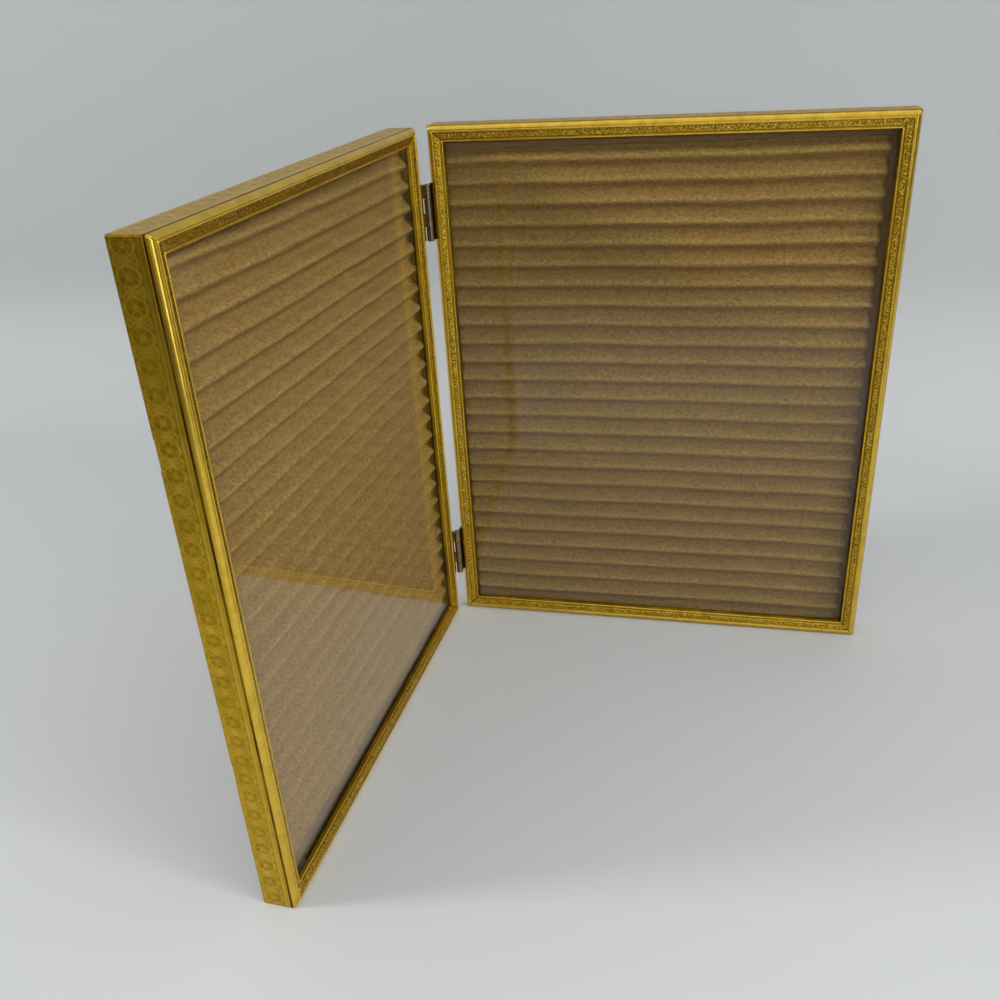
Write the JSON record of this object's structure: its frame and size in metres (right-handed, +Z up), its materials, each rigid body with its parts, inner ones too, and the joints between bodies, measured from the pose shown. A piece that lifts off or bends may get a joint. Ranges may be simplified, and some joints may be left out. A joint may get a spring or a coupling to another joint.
{
  "type": "hinged double photo frame",
  "caption": "Upright double photo frame: glazed leaves of narrow embossed gold moulding that fold together like a book on small butt hinges.",
  "frame": {"origin": "middle of the bounding box in plan, on the plane that the frame stands on", "axes": "+Z up along the pins; +X along the right leaf away from the hinges; the right leaf's glass faces -Y and the left leaf stands in front of it at the left, its glass towards +X"},
  "size_m": [0.2396, 0.228, 0.26],
  "materials": {
    "gold_moulding": "thin gold-toned metal, embossed scroll on a satin ground, polished plain bands",
    "clear_glass": "clear, polished",
    "kraft_card": "matt brown kraft paper",
    "backing_board": "matt dark purple-brown paper-covered board",
    "key_steel": "plain steel",
    "hinge_bronze": "dark bronzed, worn bright on edges",
    "pin_steel": "plain bronzed wire"
  },
  "bodies": {
    "right_leaf": {"right_bottom_rail": "gold_moulding", "right_top_rail": "gold_moulding", "right_hinge_stile": "gold_moulding", "right_outer_stile": "gold_moulding", "right_corner_keys": "key_steel", "right_glass": "clear_glass", "right_corrugated_insert": "kraft_card", "right_backing_board": "backing_board", "upper_hinge_right_plate": "hinge_bronze", "upper_hinge_right_rivets": "hinge_bronze", "lower_hinge_right_plate": "hinge_bronze", "lower_hinge_right_rivets": "hinge_bronze", "upper_hinge_pin": "pin_steel", "lower_hinge_pin": "pin_steel"},
    "left_leaf": {"left_bottom_rail": "gold_moulding", "left_top_rail": "gold_moulding", "left_hinge_stile": "gold_moulding", "left_outer_stile": "gold_moulding", "left_corner_keys": "key_steel", "left_glass": "clear_glass", "left_corrugated_insert": "kraft_card", "left_backing_board": "backing_board", "upper_hinge_left_plate": "hinge_bronze", "upper_hinge_left_rivets": "hinge_bronze", "lower_hinge_left_plate": "hinge_bronze", "lower_hinge_left_rivets": "hinge_bronze"}
  },
  "joints": [
    {"name": "fold", "type": "hinge", "parent": "right_leaf", "child": "left_leaf", "pos_m": [-0.0925, 0.0978, 0], "axis": [0, 0, 1], "range_deg": [-91, 89]}
  ]
}
